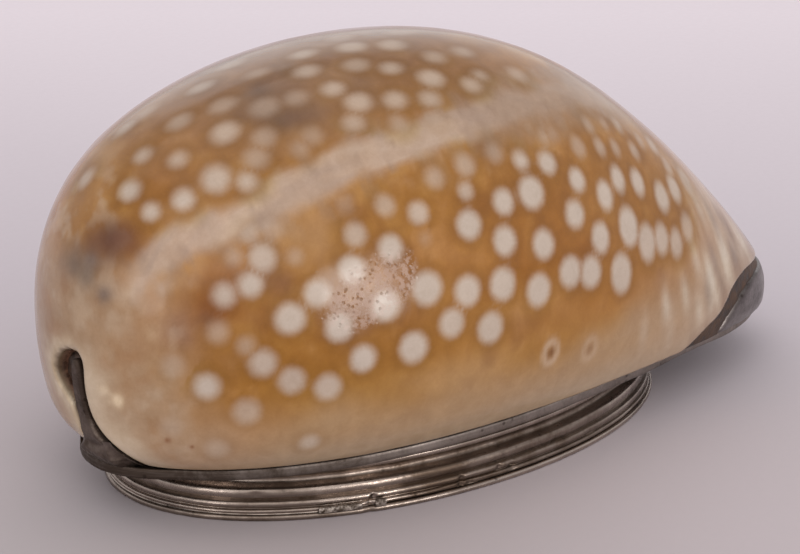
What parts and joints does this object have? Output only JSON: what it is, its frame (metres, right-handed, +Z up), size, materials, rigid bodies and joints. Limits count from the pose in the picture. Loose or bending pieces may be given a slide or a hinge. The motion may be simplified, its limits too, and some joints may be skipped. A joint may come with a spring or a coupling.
{
  "type": "snuff box",
  "caption": "Polished cowrie shell with its base cut away, bedded on a silver mount with a reeded oval moulding and closed from below by a flat hinged lid on which it stands.",
  "frame": {"origin": "centre of the underside of the whole object, on the surface it stands on", "axes": "+Z up, +X along the shell towards its anterior end, +Y towards the hinge side"},
  "size_m": [0.0844, 0.0464, 0.0406],
  "materials": {
    "shell": "glossy natural shell, fawn brown with pale round spots",
    "pitch": "dark brown bedding cement",
    "silver": "worn tarnished silver",
    "solder": "granular solder remains"
  },
  "bodies": {
    "lid": {"lid_plate": "silver", "lid_rim": "silver", "lid_flange": "silver", "hinge_leaf_lid": "silver", "hinge_knuckle_lid_1": "silver", "hinge_knuckle_lid_2": "silver", "hinge_pin": "silver", "thumbpiece_stub_left": "solder", "thumbpiece_stub_right": "solder"},
    "box": {"cowrie_shell": "shell", "pitch_bed": "pitch", "posterior_pitch": "pitch", "anterior_pitch": "pitch", "base_plate": "silver", "posterior_canal_strap": "silver", "anterior_canal_cap": "silver", "bezel_wall": "silver", "reeded_moulding": "silver", "hinge_leaf_box": "silver", "hinge_knuckle_box_1": "silver", "hinge_knuckle_box_2": "silver", "hinge_knuckle_box_3": "silver"}
  },
  "joints": [
    {"name": "lid_hinge", "type": "hinge", "parent": "lid", "child": "box", "pos_m": [-0.00429, 0.01773, 0.001], "axis": [-1, 0, 0], "range_deg": [0, 90]}
  ]
}
